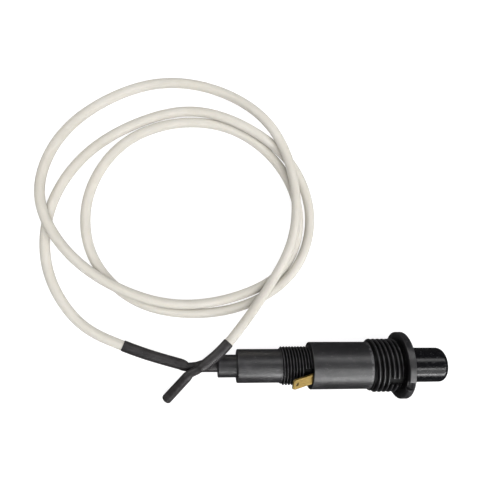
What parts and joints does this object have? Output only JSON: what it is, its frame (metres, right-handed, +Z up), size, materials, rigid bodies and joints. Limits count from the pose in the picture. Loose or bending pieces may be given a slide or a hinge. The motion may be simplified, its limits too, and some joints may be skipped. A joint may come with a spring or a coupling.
{
  "type": "push-button piezo igniter with lead",
  "caption": "Panel-mounted push-button spark igniter: threaded round body with a flange and a sprung button, a spring striker on piezo elements inside, and a white high-tension lead.",
  "frame": {"origin": "on the surface the igniter lies on, under the middle of its body's length and on the body's axis seen from above", "axes": "+X along the body towards the button, +Z up from the surface; the body's axis rises 5.8 degrees towards the button, because it rests on its flange"},
  "size_m": [0.1706, 0.1346, 0.0278],
  "materials": {
    "housing": "matte, finely scuffed",
    "rear_insulator": "satin",
    "button": "polished",
    "guide_sleeve": "satin acetal",
    "return_spring": "bright drawn wire",
    "impact_spring": "bright drawn wire",
    "hammer": "ground",
    "hammer_pin": "ground",
    "anvil": "ground",
    "piezo_front": "fired, unglazed",
    "contact_disc": "rolled",
    "piezo_rear": "fired, unglazed",
    "crystal_sleeve": "satin",
    "ht_electrode": "turned",
    "ground_strap": "rolled, slightly dulled",
    "lead": "satin silicone",
    "conductor_ends": "bare strands",
    "body_terminal": "turned",
    "body_sleeve": "satin heat-shrink",
    "free_sleeve": "satin heat-shrink",
    "free_boot": "satin heat-shrink",
    "free_terminal": "turned"
  },
  "bodies": {
    "body": {"housing": "housing", "rear_insulator": "rear_insulator", "guide_sleeve": "guide_sleeve", "return_spring": "return_spring", "anvil": "anvil", "piezo_front": "piezo_front", "contact_disc": "contact_disc", "piezo_rear": "piezo_rear", "crystal_sleeve": "crystal_sleeve", "ht_electrode": "ht_electrode", "ground_strap": "ground_strap", "lead": "lead", "conductor_ends": "conductor_ends", "body_terminal": "body_terminal", "body_sleeve": "body_sleeve", "free_sleeve": "free_sleeve", "free_boot": "free_boot", "free_terminal": "free_terminal"},
    "button": {"button": "button", "impact_spring": "impact_spring"},
    "hammer": {"hammer": "hammer", "hammer_pin": "hammer_pin"}
  },
  "joints": [
    {"name": "button_press", "type": "slide", "parent": "body", "child": "button", "axis": [-0.9948, 0, -0.1014], "range_m": [0, 0.008], "stiffness_N_per_m": 400, "springref_m": -0.003, "deforming": ["return_spring", "impact_spring"]},
    {"name": "hammer_strike", "type": "slide", "parent": "body", "child": "hammer", "axis": [-0.9948, 0, -0.1014], "range_m": [0, 0.005], "stiffness_N_per_m": 100, "springref_m": -0.002, "deforming": ["impact_spring"]}
  ]
}
